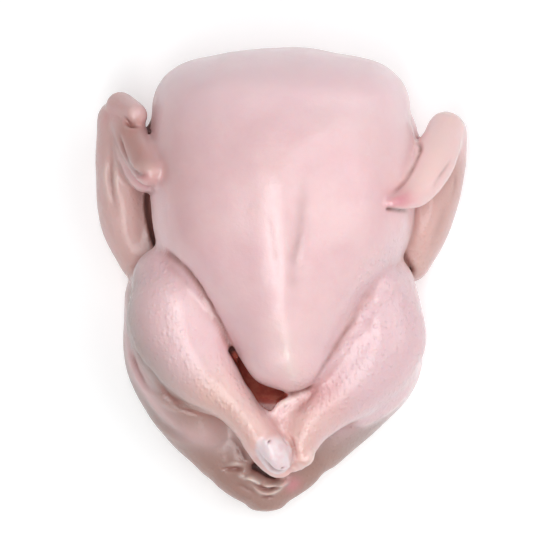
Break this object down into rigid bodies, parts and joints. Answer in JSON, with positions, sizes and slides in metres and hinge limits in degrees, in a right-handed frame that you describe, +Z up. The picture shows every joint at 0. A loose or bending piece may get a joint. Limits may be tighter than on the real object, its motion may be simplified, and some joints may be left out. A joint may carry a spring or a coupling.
{
  "type": "whole raw chicken",
  "caption": "Whole raw country chicken, plucked and drawn with its skin on, lying on its back with the legs folded over the vent and the wings tucked.",
  "frame": {"origin": "middle of the flat of the back, which the bird rests on", "axes": "+Z up out of the breast, +Y along the back towards the neck end, -Y towards the tail, +X towards the wing and leg at the right of the picture"},
  "size_m": [0.182, 0.2252, 0.0974],
  "materials": {
    "raw_skin": "moist raw poultry skin, pale pink, soft sheen"
  },
  "bodies": {
    "root": {"whole_chicken": "raw_skin"}
  },
  "joints": []
}
